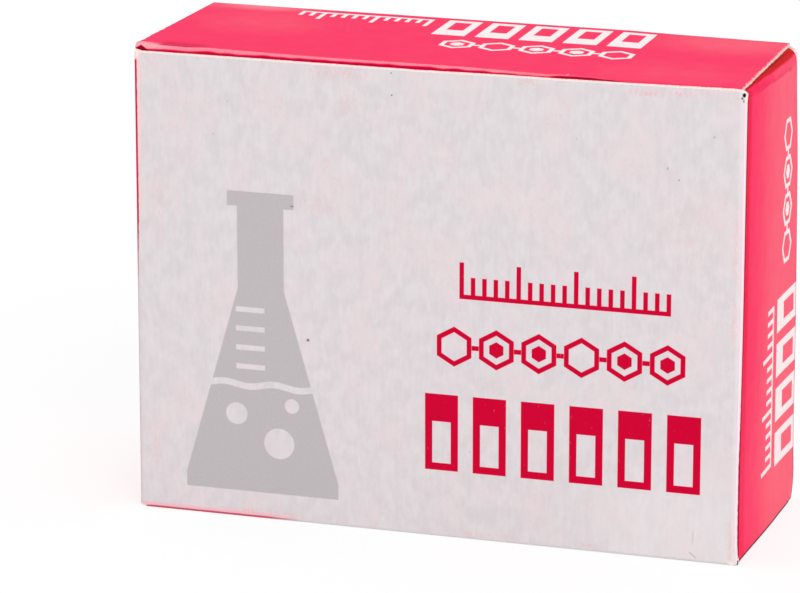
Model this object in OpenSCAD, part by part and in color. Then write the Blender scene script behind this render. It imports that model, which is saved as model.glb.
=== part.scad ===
// Carton of microscope slides: a reverse tuck carton of folded board with a lid at each end,
// and the glass slides stacked flat inside it.
// X runs along the slides, the front panel faces -Y, and the carton stands on its bottom lid at Z = 0.

/* [Slides] */
// Length of a slide
slide_l = 76.2; // [60:0.1:100]
// Width of a slide
slide_w = 25.4; // [20:0.1:50]
// Thickness of a slide
slide_t = 1.1; // [0.8:0.05:1.5]
// Number of slides in the stack
slide_count = 50; // [10:1:56]
// Leg of the small cut across each corner of a slide
slide_corner = 0.6; // [0.2:0.1:3]
// Ground bevel along the edges of a slide
slide_bevel = 0.15; // [0.05:0.05:0.3]
// Furthest that a slide lies out of line with the stack across its width
slide_stray = 0.1; // [0:0.01:0.15]
// Furthest that a slide lies out of line with the stack along its length
end_stray = 0.2; // [0:0.01:1]

/* [Board] */
// Thickness of the board
board_t = 0.45; // [0.3:0.05:0.8]
// Inside radius of a fold
fold_r = 0.2; // [0.1:0.05:0.6]

/* [Room inside] */
// Free length at each end of the stack
end_room = 2.2; // [1:0.1:10]
// Play between the stack and a tuck flap
side_play = 0.2; // [0.15:0.05:5]
// Free height above the stack
head_room = 5.6; // [2:0.1:20]

/* [Lids] */
// Depth of the tuck flap along its slope
tuck_depth = 9; // [6:0.1:14]
// Radius of the tuck flap's corners
tuck_corner_r = 5; // [1:0.5:6]
// Distance from the carton's side faces to the raw ends of a lid
lid_inset = 0.9; // [0.6:0.05:2]
// Gap between the ends of a tuck flap and the glue flap inside the left panel
tuck_side_gap = 0.3; // [0.15:0.05:3]
// Gap that a tuck flap keeps from the panel it swings behind
swing_gap = 0.12; // [0.1:0.01:0.4]
// Gap between a lid and the edges that it closes on
fold_gap = 0.08; // [0.05:0.01:0.3]
// Height that the panel a tuck flap slips behind stands above the edges that the lid closes on
tuck_rise = 0.3; // [0:0.05:0.3]

/* [Dust flaps] */
// Length of a dust flap from the carton's side face
dust_l = 24; // [12:0.5:34]
// Length of the straight shoulder at the flap's root
dust_shoulder = 4; // [2:0.5:8]
// Taper of the flap towards its tip, on the tuck side
dust_taper = 2.4; // [0:0.1:4]
// Chamfer across the corners of the flap's tip
dust_chamfer = 2; // [0.5:0.1:3]
// Gap between a dust flap and the swing of the tuck flap
dust_gap = 0.3; // [0.2:0.05:1]

/* [Glue flap] */
// Width of the glue flap inside the left panel
glue_w = 11; // [6:0.5:16]
// Distance that the glue flap and its fold stop short of the panels' ends
glue_short = 1.5; // [1:0.1:8]
// Slope across the glue flap's ends
glue_taper = 3; // [0:0.1:5]
// Gap between the left panel's raw edge and the back face
joint_gap = 0.25; // [0.1:0.05:0.6]

/* [Hidden] */
$fn = 64;
// A tool that cuts right through reaches this far past the board
past = 1;
fold_out_r = fold_r + board_t;

// Room that a tuck flap takes beside the stack, apart from the lean of its slope
tuck_room = swing_gap + board_t + side_play;
// Radius of the tuck flap's swing about its hinge. The flap's outer face is a chord of this circle,
// so that it passes the panel's edge. The chord's lean over its depth h takes h * h / (2 * R) on each
// side of the stack, which makes R = q + h * h / R, and this is the root of that.
swing_q = slide_w + 2 * tuck_room + board_t / 2 - swing_gap;
swing_r = (swing_q + sqrt(swing_q * swing_q + 4 * tuck_depth * tuck_depth)) / 2;
tuck_lean = asin(tuck_depth / (2 * swing_r));
// The chord's furthest distance inside the circle
swing_sagitta = swing_r * (1 - cos(tuck_lean));

// Each end of the carton is closed by a lid over the dust flaps
closure_h = board_t + fold_gap;
inner_d = swing_r - board_t / 2 + swing_gap;
box_l = slide_l + 2 * end_room + 3 * board_t;
box_d = inner_d + 2 * board_t;
box_h = slide_count * slide_t + head_room + 2 * (closure_h + board_t);

// The top lid's hinge is in the middle of the board at the back edge
hinge_y = box_d / 2 - board_t / 2;
hinge_z = box_h - board_t / 2;

// The back panel's left end, where the glue flap's fold starts
glue_fold_x = -box_l / 2 + board_t + fold_out_r;

// The dust flap runs from behind the tuck flap's swing to the fold beside the hinge
dust_tuck_y = hinge_y - (swing_r - swing_sagitta - board_t - dust_gap);
dust_hinge_y = box_d / 2 - fold_out_r - fold_gap;

// The stack stands on the bottom dust flaps, midway between the glue flap and the right panel
stack_x = board_t / 2;
stack_z = closure_h + board_t;
// Steps in degrees from one slide to the next, of the waves that put them out of line along X and Y
stray_step = [137, 79];

SLIDE_NODES = [for (i = [1 : slide_count]) str("slide_", i < 10 ? "0" : "", i)];

// A quarter of the folded board, seen end on, from the +X direction round to +Y
module fold_arc() {
    intersection() {
        difference() {
            circle(r = fold_out_r);
            circle(r = fold_r);
        }
        square(fold_out_r);
    }
}

// Turns what closes the top end into what closes the bottom end
module at_bottom() {
    translate([0, 0, box_h]) rotate([180, 0, 0]) children();
}

// The four panels seen from above, with raw edges where the left panel and the back panel are joined
module panel_plan() {
    x = box_l / 2;
    y = box_d / 2;
    // front and right panels, and the folds at their ends
    translate([-x + fold_out_r, -y]) square([box_l - 2 * fold_out_r, board_t]);
    translate([x - board_t, -y + fold_out_r]) square([board_t, box_d - 2 * fold_out_r]);
    translate([-x + fold_out_r, -y + fold_out_r]) rotate(180) fold_arc();
    translate([x - fold_out_r, -y + fold_out_r]) rotate(270) fold_arc();
    translate([x - fold_out_r, y - fold_out_r]) fold_arc();
    // back and left panels
    translate([glue_fold_x, y - board_t]) square([x - fold_out_r - glue_fold_x, board_t]);
    translate([-x, -y + fold_out_r]) square([board_t, box_d - fold_out_r - joint_gap]);
}

// The back panel turns inside the left panel as the glue flap, which lies against it with sloping ends
module glue_flap() {
    low = closure_h + glue_short;
    high = box_h - closure_h - glue_short;
    root_y = box_d / 2 - fold_out_r;
    tip_y = box_d / 2 - glue_w;
    translate([glue_fold_x, root_y, low]) linear_extrude(high - low) rotate(90) fold_arc();
    translate([-box_l / 2 + board_t, 0, 0])
        rotate([90, 0, 90])
            linear_extrude(board_t)
                polygon([[root_y, low], [root_y, high], [tip_y, high - glue_taper], [tip_y, low + glue_taper]]);
}

// The top right dust flap from above, in distances from the right panel's outer face
module dust_outline() {
    tip_y = dust_tuck_y + dust_taper;
    polygon([
        [-past, dust_tuck_y],
        [dust_shoulder, dust_tuck_y],
        [dust_l - dust_chamfer, tip_y],
        [dust_l, tip_y + dust_chamfer],
        [dust_l, dust_hinge_y - dust_chamfer],
        [dust_l - dust_chamfer, dust_hinge_y],
        [-past, dust_hinge_y]
    ]);
}

// The top right dust flap, with the fold that joins it to the right panel
module dust_flap() {
    x = box_l / 2 - fold_out_r;
    z = box_h - closure_h;
    intersection() {
        rotate([90, 0, 0])
            linear_extrude(box_d, center = true)
                union() {
                    translate([x, z - fold_out_r]) fold_arc();
                    translate([x - dust_l, z - board_t]) square([dust_l, board_t]);
                }
        translate([box_l / 2, 0, 0]) mirror([1, 0, 0]) linear_extrude(box_h) dust_outline();
    }
}

// The stretch of the right panel's top that the dust flap's fold takes
module dust_notch() {
    z = box_h - closure_h - fold_out_r;
    translate([box_l / 2 - fold_out_r, dust_tuck_y, z])
        cube([fold_out_r + past, dust_hinge_y - dust_tuck_y, fold_out_r + past]);
}

// What is cut from the top of the walls: all but the front panel's edge, which stands higher
module low_edges() {
    front = -box_d / 2;
    translate([0, 0, box_h - closure_h])
        difference() {
            translate([-box_l / 2 - past, front - past]) cube([box_l + 2 * past, box_d + 2 * past, past]);
            translate([glue_fold_x, front - 2 * past, -past])
                cube([box_l / 2 - fold_out_r - glue_fold_x, 2 * past + board_t + swing_gap / 2, 3 * past]);
        }
}

// Repeats a thing made for the top right dust flap at all four dust flaps
module at_dust_flaps() {
    for (side = [0, 1]) mirror([side, 0, 0]) {
        children();
        at_bottom() children();
    }
}

module carton() {
    color("gainsboro") {
        difference() {
            translate([0, 0, closure_h - tuck_rise])
                linear_extrude(box_h - 2 * (closure_h - tuck_rise)) panel_plan();
            low_edges();
            at_bottom() low_edges();
            at_dust_flaps() dust_notch();
        }
        glue_flap();
        at_dust_flaps() dust_flap();
    }
}

// Places a shape on the tuck flap: X runs inwards from its outer face, which starts at the hinge's height
module on_tuck_flap() {
    translate([hinge_y - swing_r, hinge_z]) rotate(tuck_lean) children();
}

// The top lid seen from its +X end: the rounded hinge edge, the panel, the fold and the leaning tuck flap
module lid_profile() {
    // the fold is round about a point that lies its radius inside both the lid's face and the flap's face
    fold_z = box_h - fold_out_r;
    fold_y = hinge_y - swing_r + (fold_out_r + (hinge_z - fold_z) * sin(tuck_lean)) / cos(tuck_lean);
    // distance along the flap's face from its start down to the fold's end
    fold_end = (fold_y - hinge_y + swing_r) * sin(tuck_lean) + (hinge_z - fold_z) * cos(tuck_lean);
    difference() {
        union() {
            translate([fold_y, fold_z]) circle(r = fold_out_r);
            translate([fold_y, fold_z]) square([hinge_y - fold_y, fold_out_r]);
            on_tuck_flap() translate([0, -tuck_depth]) square([fold_out_r, tuck_depth - fold_end]);
        }
        // the room inside the fold, under the panel and behind the flap
        translate([fold_y, fold_z]) circle(r = fold_r);
        translate([fold_y, fold_z - fold_r]) square([hinge_y - fold_y + past, 2 * fold_r]);
        on_tuck_flap()
            translate([board_t, -tuck_depth - past])
                square([2 * fold_out_r, tuck_depth + past - fold_end]);
    }
    translate([hinge_y, hinge_z]) circle(d = board_t);
}

// What is cut from one end of the tuck flap: its gap from the side panel and its round corner
module tuck_end_cut() {
    end_x = box_l / 2 - 2 * board_t - tuck_side_gap;
    top_z = box_h - closure_h;
    tip_z = hinge_z - tuck_depth * cos(tuck_lean);
    translate([0, box_d / 2 - fold_out_r, 0])
        rotate([90, 0, 0])
            linear_extrude(box_d)
                union() {
                    translate([end_x, tip_z - past]) square([box_l / 2 - end_x, top_z - tip_z + past]);
                    difference() {
                        translate([end_x - tuck_corner_r, tip_z - past])
                            square([tuck_corner_r + past, tuck_corner_r + past]);
                        translate([end_x - tuck_corner_r, tip_z + tuck_corner_r]) circle(r = tuck_corner_r);
                    }
                }
}

// A lid with its tuck flap, as it closes the top
module lid() {
    difference() {
        rotate([90, 0, 90]) linear_extrude(box_l - 2 * lid_inset, center = true) lid_profile();
        for (side = [0, 1]) mirror([side, 0, 0]) tuck_end_cut();
    }
}

module top_lid() {
    color("#ff5078") lid();
}

module bottom_lid() {
    color("#f04a72") at_bottom() lid();
}

// Outline of a slide along one direction, with both corners at each end cut back by a leg
module clipped(length, width, leg) {
    x = length / 2;
    y = width / 2;
    polygon([
        [-x + leg, -y], [x - leg, -y], [x, -y + leg], [x, y - leg],
        [x - leg, y], [-x + leg, y], [-x, y - leg], [-x, -y + leg]
    ]);
}

// A slide with its corners cut and its long and short edges ground
module slide() {
    intersection() {
        linear_extrude(slide_t, center = true) clipped(slide_l, slide_w, slide_corner);
        rotate([90, 0, 0]) linear_extrude(slide_w, center = true) clipped(slide_l, slide_t, slide_bevel);
        rotate([90, 0, 90]) linear_extrude(slide_l, center = true) clipped(slide_w, slide_t, slide_bevel);
    }
}

// Slide number i of the stack, a little out of line with the ones below it
module slide_at(i) {
    stray_x = end_stray * sin(i * stray_step[0]);
    stray_y = slide_stray * sin(i * stray_step[1]);
    translate([stack_x + stray_x, stray_y, stack_z + (i - 0.5) * slide_t]) slide();
}

carton();
top_lid();
bottom_lid();
for (i = [1 : slide_count])
    color("lightcyan") slide_at(i);
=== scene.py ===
# %% [markdown]
# # A carton of microscope slides
#
# Fifty glass slides lie flat in a folding carton of printed board. The carton is one sheet: it runs
# round as left, front, right and back panel, and four dust flaps turn in from the side panels. A lid
# with a tuck flap closes each end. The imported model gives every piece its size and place, and this
# script gives it its surface.

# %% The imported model
import math
from functools import partialmethod

import bpy
import numpy as np
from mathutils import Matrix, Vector


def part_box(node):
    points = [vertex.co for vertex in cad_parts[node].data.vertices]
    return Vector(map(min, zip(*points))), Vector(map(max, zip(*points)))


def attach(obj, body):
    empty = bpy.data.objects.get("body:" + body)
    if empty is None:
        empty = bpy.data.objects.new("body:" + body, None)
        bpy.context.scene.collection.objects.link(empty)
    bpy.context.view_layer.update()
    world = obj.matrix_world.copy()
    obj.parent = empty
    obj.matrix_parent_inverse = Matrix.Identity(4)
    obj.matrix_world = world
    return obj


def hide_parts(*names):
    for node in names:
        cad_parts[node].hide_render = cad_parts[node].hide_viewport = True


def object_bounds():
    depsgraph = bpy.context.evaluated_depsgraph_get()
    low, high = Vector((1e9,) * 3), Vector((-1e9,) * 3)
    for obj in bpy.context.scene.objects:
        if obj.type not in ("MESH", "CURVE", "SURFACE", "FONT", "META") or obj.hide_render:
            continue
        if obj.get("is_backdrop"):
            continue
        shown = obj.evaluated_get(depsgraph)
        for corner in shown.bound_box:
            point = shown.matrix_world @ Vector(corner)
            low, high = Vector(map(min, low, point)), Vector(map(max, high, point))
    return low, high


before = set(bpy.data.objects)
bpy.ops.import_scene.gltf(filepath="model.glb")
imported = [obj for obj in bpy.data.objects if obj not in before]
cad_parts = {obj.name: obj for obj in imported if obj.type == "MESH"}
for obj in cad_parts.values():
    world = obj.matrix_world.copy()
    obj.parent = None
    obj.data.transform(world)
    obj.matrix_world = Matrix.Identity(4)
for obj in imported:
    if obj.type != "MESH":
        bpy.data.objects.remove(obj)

MM = 0.001
cad_low, cad_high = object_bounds()
carton_low, carton_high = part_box("carton")
lid_low, lid_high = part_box("top_lid")
box_h = cad_high.z


def new_object(name, data):
    """An object of the scene, for a camera, a lamp or a mesh."""
    made = bpy.data.objects.new(name, data)
    bpy.context.scene.collection.objects.link(made)
    return made


print("CAD box in mm:", [round(v / MM, 2) for v in (*cad_low, *cad_high)])

# %% [markdown]
# ## Camera
# A long lens from a little above, to the right of the front panel, shows the front, the top and the
# right side, with upright edges that stay almost parallel. The camera is aimed at a point left of the
# middle, so that the carton stands to the right in its view.

# %% Camera
view_azimuth = math.radians(17.65)
view_elevation = math.radians(15.71)
view_distance = 624.3 * MM
view_target = Vector((-9.35 * MM, 0, 27.68 * MM))
lens_mm = 210.9

camera_data = bpy.data.cameras.new("camera")
camera_data.lens = lens_mm
camera_data.sensor_width = 36
camera_data.clip_start = 0.01
camera = new_object("camera", camera_data)
level = math.cos(view_elevation)
away = Vector((math.sin(view_azimuth) * level, -math.cos(view_azimuth) * level, math.sin(view_elevation)))
camera.location = view_target + view_distance * away
camera.rotation_euler = away.to_track_quat("Z", "Y").to_euler()
bpy.context.scene.camera = camera
bpy.context.scene.view_settings.view_transform = "Standard"
print("camera at mm:", [round(v / MM, 1) for v in camera.location])

# %% [markdown]
# ## A language for surfaces
# A material is a tree of nodes. Written out node by node it is long and hard to read, so one small
# class stands for a number that changes over the surface, and Python's own signs put the Math nodes
# in. Every other node comes from `node()`.


# %% Numbers over a surface
class Amount:
    """A number that changes over a surface. a + b, a - b, a * b, a / b, a % b, a < b, a > b and abs(a)
    each add a Math node, also where one side is a plain number."""

    def __init__(self, finish, socket):
        self.finish = finish
        self.socket = socket

    def math(self, operation, *others, clamp=False):
        """What one Math node makes of this number and the others."""
        settings = {"operation": operation, "use_clamp": clamp}
        return Amount(self.finish, self.finish.node("ShaderNodeMath", settings, self, *others).outputs[0])

    __add__ = __radd__ = partialmethod(math, "ADD")
    __sub__ = partialmethod(math, "SUBTRACT")
    __mul__ = __rmul__ = partialmethod(math, "MULTIPLY")
    __truediv__ = partialmethod(math, "DIVIDE")
    __mod__ = partialmethod(math, "FLOORED_MODULO")
    __lt__ = partialmethod(math, "LESS_THAN")
    __gt__ = partialmethod(math, "GREATER_THAN")
    __abs__ = partialmethod(math, "ABSOLUTE")
    least = partialmethod(math, "MINIMUM")
    most = partialmethod(math, "MAXIMUM")

    def __rsub__(self, other):
        return self * -1 + other

    def unit(self):
        """The number held between 0 and 1."""
        return self.math("ADD", 0, clamp=True)

    def rise(self, low, high):
        """0 below low and 1 above high, with a smooth climb between. With high below low it falls."""
        settings = {"interpolation_type": "SMOOTHSTEP"}
        made = self.finish.node("ShaderNodeMapRange", settings, self, low, high)
        return Amount(self.finish, made.outputs[0])


# %% Materials
class Finish:
    """A material or a world, and the nodes behind it. A colour is written as red, green and blue from
    0 to 255, as a paint chart gives them."""

    def __init__(self, owner):
        owner.use_nodes = True
        self.owner = owner
        self.tree = owner.node_tree
        self.tree.nodes.clear()

    def node(self, kind, settings=None, *values, **named):
        """Adds a node: its settings come first, then the values or links of its sockets, by their order
        or by their names."""
        made = self.tree.nodes.new(kind)
        for setting, value in (settings or {}).items():
            setattr(made, setting, value)
        sockets = [s for s in made.inputs if s.enabled]
        pairs = list(zip(sockets, values))
        pairs += [(next(s for s in sockets if s.name == n.replace("_", " ")), v) for n, v in named.items()]
        for socket, value in pairs:
            if isinstance(value, Amount):
                value = value.socket
            if isinstance(value, bpy.types.NodeSocket):
                self.tree.links.new(value, socket)
            else:
                socket.default_value = value
        return made

    def attribute(self, name):
        """A number that the mesh carries at its points."""
        return Amount(self, self.node("ShaderNodeAttribute", {"attribute_name": name}).outputs["Fac"])

    def place(self, x, y, z=0.0):
        """A place made from three numbers."""
        return self.node("ShaderNodeCombineXYZ", None, x, y, z).outputs[0]

    def stretched(self, place, by, start=(0.0, 0.0, 0.0)):
        """The place, multiplied by a number along each axis and moved by start."""
        return self.node("ShaderNodeVectorMath", {"operation": "MULTIPLY_ADD"}, place, by, start).outputs[0]

    def length(self, place):
        """How far a place is from the origin."""
        made = self.node("ShaderNodeVectorMath", {"operation": "LENGTH"}, place)
        return Amount(self, made.outputs["Value"])

    def noise(self, place, by, detail=2.0, start=(0.0, 0.0, 0.0)):
        """Cloudy noise about 0.5, with the given number of features in a millimetre along each axis."""
        made = self.node("ShaderNodeTexNoise", None, Vector=self.stretched(place, by, start), Scale=1.0,
                         Detail=detail)
        return Amount(self, made.outputs[0])

    def marks(self, place, marks, core):
        """Each mark's strength in its core, fading to 0 at its rim. A mark is its middle, its half width,
        its half height and its strength; core is the core's share of its size."""
        total = None
        for x, y, half_x, half_y, strength in marks:
            near = self.stretched(place, (1 / half_x, 1 / half_y, 0.0), (-x / half_x, -y / half_y, 0.0))
            mark = self.length(near).rise(1, core) * strength
            total = mark if total is None else total.most(mark)
        return total

    def mix(self, share, first, second):
        """The first colour where share is 0 and the second where it is 1."""
        colours = [paint(c) if isinstance(c, tuple) else c for c in (first, second)]
        return self.node("ShaderNodeMix", {"data_type": "RGBA"}, share, *colours).outputs[2]

    def painted(self, colour, *coats):
        """The colour under several coats, of which the last lies uppermost. A coat is its share and its
        colour."""
        for share, coat in coats:
            colour = self.mix(share, colour, coat)
        return colour

    def shader(self, **named):
        """The surface itself, with what changes over it and what is the same all over."""
        named = {n: paint(v) if isinstance(v, tuple) else v for n, v in named.items()}
        surface = self.node("ShaderNodeBsdfPrincipled", None, **named)
        self.node("ShaderNodeOutputMaterial", None, surface.outputs[0])
        return self.owner


def paint(colour):
    """A paint-chart colour as the linear light that a shader takes: c / 12.92 up to 0.04045, and
    ((c + 0.055) / 1.055) to the power 2.4 above it."""
    share = np.array(colour) / 255
    linear = np.where(share <= 0.04045, share / 12.92, ((share + 0.055) / 1.055) ** 2.4)
    return (*linear.tolist(), 1.0)


# %% [markdown]
# ## Floor and light
# The carton stands on a white sweep in even studio light. The sky is a soft white dome, and one large
# lamp from the front left gives the faces a slightly different tone each. The white behind it comes
# from the floor's and the sky's own colour for the camera, so the light on the carton can stay at the
# level at which a colour comes out as it is written.

# %% Sky and lamp
sky_level = 0.86
lamp_level = 5.0
lamp_size = 0.9
lamp_place = Vector((0.7, -1.0, 0.85))
full_white = (1, 1, 1, 1)

world = bpy.data.worlds.new("studio")
bpy.context.scene.world = world
sky = Finish(world)


def seen_directly(finish):
    """1 for what the camera sees, straight on or by a reflection or through glass, and 0 for what only
    lights something."""
    ray = finish.node("ShaderNodeLightPath").outputs
    seen = Amount(finish, ray["Is Camera Ray"]) + Amount(finish, ray["Is Glossy Ray"])
    return (seen + Amount(finish, ray["Is Transmission Ray"])).unit()


dome = sky.node("ShaderNodeBackground", None, full_white, sky_level)
backdrop = sky.node("ShaderNodeBackground", None, full_white, 1.0)
sky_shown = sky.node("ShaderNodeMixShader", None, seen_directly(sky), dome.outputs[0], backdrop.outputs[0])
sky.node("ShaderNodeOutputWorld", None, sky_shown.outputs[0])

lamp_data = bpy.data.lights.new("softbox", "AREA")
lamp_data.shape = "DISK"
lamp_data.size = lamp_size
lamp_data.energy = lamp_level
lamp = new_object("softbox", lamp_data)
lamp.location = lamp_place
lamp.rotation_euler = lamp_place.to_track_quat("Z", "Y").to_euler()
print("sky", sky_level, "and a lamp of", lamp_level, "W")

# %% Floor
floor_half = 4.0
floor_paint = (244, 244, 244)
floor_glow = 1.07
floor_share = 0.7

floor_mesh = bpy.data.meshes.new("floor")
corners = [(-floor_half, -floor_half, 0), (floor_half, -floor_half, 0),
           (floor_half, floor_half, 0), (-floor_half, floor_half, 0)]
floor_mesh.from_pydata(corners, [], [(0, 1, 2, 3)])
floor = new_object("floor", floor_mesh)
sweep = Finish(bpy.data.materials.new("floor_sweep"))
matt = sweep.node("ShaderNodeBsdfDiffuse", None, paint(floor_paint))
glow = sweep.node("ShaderNodeEmission", None, full_white, floor_glow)
glow_share = seen_directly(sweep) * floor_share
both = sweep.node("ShaderNodeMixShader", None, glow_share, matt.outputs[0], glow.outputs[0])
sweep.node("ShaderNodeOutputMaterial", None, both.outputs[0])
floor_mesh.materials.append(sweep.owner)
floor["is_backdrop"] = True

# %% [markdown]
# ## Folded board
# A carton is cut flat and folded, so each piece is built that way here. A lattice of points carries
# two flat coordinates, s across the sheet and v up it, and the fold only decides where in space each
# lattice point lands. The mesh then gets an outer and an inner layer, half a board's thickness to
# each side, and a slightly swollen raw edge between them wherever the sheet was cut. The flat
# coordinates stay on the mesh as a UV map, so print runs over a fold as it does on real board, and
# three numbers say how the board looks at a point: which ply it belongs to, and how far a cut edge
# and a fold are.

# %% Lattice helpers
board_t = 0.45 * MM
fold_out_r = 0.65 * MM
fold_mid_r = fold_out_r - board_t / 2
quarter_fold = fold_mid_r * math.pi / 2
lattice_step = 1.0 * MM
fold_steps = 6
tuck_rise = 0.3 * MM
# further than anything on the sheet, less than any two points of it lie apart, and what keeps a
# division by a length from being one by 0
far = 9.0
close = 1e-9
tiny_length = 1e-12
print("middle of a fold at mm:", round(fold_mid_r / MM, 3))


def run(start, stop, step=lattice_step):
    """Evenly spaced values from start to stop, no further apart than step."""
    return np.linspace(start, stop, max(1, math.ceil(abs(stop - start) / step)) + 1)


def chain(*runs):
    """Several rising runs as one, with each value kept once."""
    return np.unique(np.round(np.concatenate(runs), 9))


def together(*parts):
    """Several arrays as one: the coordinates of points or the corners of faces."""
    return np.stack(np.broadcast_arrays(*parts), axis=-1)


def trace(start, s, heading):
    """A path in a plane. From one s to the next it moves along the mean of the two headings, by the
    step times sin(a) / a, where a is half the turn, which is the chord of the arc between them."""
    turn = np.diff(heading)
    chord = np.diff(s) * np.sinc(turn / (2 * np.pi))
    mean = heading[:-1] + turn / 2
    moves = together(chord * np.cos(mean), chord * np.sin(mean))
    return np.array(start) + np.vstack([np.zeros((1, 2)), np.cumsum(moves, axis=0)])


# %% From a lattice to a sheet of board
rim_steps = 4
rim_swell = 0.05 * MM


def cut_edges(kept):
    """The lattice edges that lie between a kept cell and none, as pairs of lattice points that go
    round the kept cells anticlockwise, seen from outside."""
    rows, columns = kept.shape
    number = np.arange((rows + 1) * (columns + 1)).reshape(rows + 1, columns + 1)
    padded = np.pad(kept, 1)
    inner = padded[1:-1, 1:-1]
    sides = [
        (padded[:-2, 1:-1], number[:-1, :-1], number[:-1, 1:]),
        (padded[1:-1, 2:], number[:-1, 1:], number[1:, 1:]),
        (padded[2:, 1:-1], number[1:, 1:], number[1:, :-1]),
        (padded[1:-1, :-2], number[1:, :-1], number[:-1, :-1]),
    ]
    return np.vstack([together(a[inner & ~next_to], b[inner & ~next_to]) for next_to, a, b in sides])


def outward_at_edge(points, normals, kept, edges):
    """For each lattice point on a cut edge, the direction that leads off the sheet: the sum, over the
    cut edges that meet there, of edge x normal, made one long."""
    out = np.zeros_like(points)
    along = points[edges[:, 1]] - points[edges[:, 0]]
    along /= np.linalg.norm(along, axis=1, keepdims=True) + tiny_length
    off = np.cross(along, normals[edges[:, 0]])
    np.add.at(out, edges[:, 0], off)
    np.add.at(out, edges[:, 1], off)
    return out / (np.linalg.norm(out, axis=1, keepdims=True) + tiny_length)


def board_piece(name, middle, normal, half, flat, kept, crease, folded_back):
    """A sheet of board from its middle surface. The outer layer is middle + half * normal and the
    inner one middle - half * normal. Between them a cut edge runs round as half * cos(a) along the
    normal and swell * sin(a) off the sheet, for a from 0 to pi. Where folded_back is 1 the edge is
    really a fold, so it keeps its print and has no wear of a cut."""
    rows, columns = middle.shape[:2]
    points = middle.reshape(-1, 3)
    normals = normal.reshape(-1, 3)
    halves = np.broadcast_to(half, (rows, columns)).reshape(-1, 1)
    flats = flat.reshape(-1, 2)
    ply_inside = np.broadcast_to(folded_back, (rows, columns)).reshape(-1)
    creases = np.broadcast_to(crease, (rows, columns)).reshape(-1)
    count = len(points)
    number = np.arange(count).reshape(rows, columns)
    cells = together(number[:-1, :-1], number[:-1, 1:], number[1:, 1:], number[1:, :-1])[kept]
    edges = cut_edges(kept)
    off = outward_at_edge(points, normals, kept, edges)

    angles = np.linspace(0, math.pi, rim_steps + 1)
    layers = [points + halves * math.cos(a) * normals + rim_swell * math.sin(a) * off for a in angles]
    plies = [ply_inside + (1 - ply_inside) * (0.5 + 0.5 * math.cos(a)) for a in angles]
    starts = [layer * count for layer in range(rim_steps + 1)]
    faces = [cells, cells[:, ::-1] + starts[-1]]
    for upper, lower in zip(starts[:-1], starts[1:]):
        faces.append(together(edges[:, 1] + upper, edges[:, 0] + upper,
                              edges[:, 0] + lower, edges[:, 1] + lower))
    faces = np.vstack(faces)

    used, packed = np.unique(faces, return_inverse=True)
    faces = packed.reshape(faces.shape)
    lattice_number = used % count
    coordinates = np.vstack(layers)[used]
    on_edge = np.unique(edges)
    on_edge = on_edge[ply_inside[on_edge] < 0.5]
    edge_distance = nearest(flats[lattice_number], flats[on_edge])
    values = {"ply": np.concatenate(plies)[used], "edge": edge_distance, "crease": creases[lattice_number]}
    piece = mesh_piece(name, coordinates, faces, flats[lattice_number], values)
    print(name, len(faces), "faces,", len(edges), "lattice edges on cuts")
    return piece


def nearest(places, targets, reach=4 * MM, block=2000):
    """The distance from each place to the nearest target, up to reach."""
    found = np.full(len(places), reach)
    for start in range(0, len(places), block):
        part = places[start:start + block]
        gap = np.linalg.norm(part[:, None] - targets[None], axis=-1).min(axis=1)
        found[start:start + block] = np.minimum(gap, reach)
    return found


def mesh_piece(name, coordinates, faces, flats, values, sharp=math.radians(40)):
    """Puts points and four-sided faces into a mesh object, with the flat coordinates as the UV map
    Blank and each named value at the points."""
    mesh = bpy.data.meshes.new(name)
    mesh.vertices.add(len(coordinates))
    mesh.vertices.foreach_set("co", coordinates.astype(np.float32).ravel())
    mesh.loops.add(faces.size)
    mesh.loops.foreach_set("vertex_index", faces.astype(np.int32).ravel())
    mesh.polygons.add(len(faces))
    mesh.polygons.foreach_set("loop_start", np.arange(0, faces.size, 4, dtype=np.int32))
    mesh.polygons.foreach_set("use_smooth", np.ones(len(faces), bool))
    mesh.update(calc_edges=True)
    mesh.set_sharp_from_angle(angle=sharp)
    uv = mesh.uv_layers.new(name="Blank")
    uv.uv.foreach_set("vector", flats[faces.ravel()].astype(np.float32).ravel())
    for label, value in values.items():
        attribute = mesh.attributes.new(label, "FLOAT", "POINT")
        attribute.data.foreach_set("value", value.astype(np.float32))
    return new_object(name, mesh)


# %% [markdown]
# ## Wear in the shape
# A used carton is no longer true: a corner sags, a fold is pushed out, a flap has sprung. Each such
# place is a soft dent, a push in one direction that fades with distance as exp(-r * r), where r is
# measured in the dent's own spread along X, Y and Z. The pushes are a few tenths of a millimetre.
# What changes along an edge, such as the height of the front panel's cut, is drawn as a line
# through a few named heights instead.


# %% Dents
def dented(points, dents):
    """The points, each moved by every dent: push * exp(-r * r), where r * r is the sum of the squares
    of the distance from the dent's middle over its spread, along each axis."""
    moved = points.copy()
    for middle, spread, push in dents:
        gap = (points - np.array(middle) * MM) / (np.array(spread) * MM)
        moved += np.exp(-np.sum(gap * gap, axis=-1, keepdims=True)) * np.array(push) * MM
    return moved


# middle, spread and push, each as X, Y and Z in millimetres
carton_dents = [
    ((41, 15, 60), (3, 5, 9), (-0.35, 0, 0)),
    ((41, 15, 18), (3, 6, 22), (0.30, 0, 0)),
    ((41, 15, 3), (3, 8, 6), (0.20, 0, 0)),
    ((41, 16.2, 0), (3, 2.4, 2.4), (-0.35, -0.1, 0.85)),
    ((0, -15.3, 30), (26, 2, 18), (0, -0.12, 0)),
    # the fold under the right panel bulges down beside the lid's end, most of all at the back
    ((41.1, 0, 0.9), (0.75, 90, 1.5), (0, 0, -0.95)),
    ((41, 3, 1), (2.5, 12, 3.5), (0.42, 0, 0)),
]
print(len(carton_dents), "dents")

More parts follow.
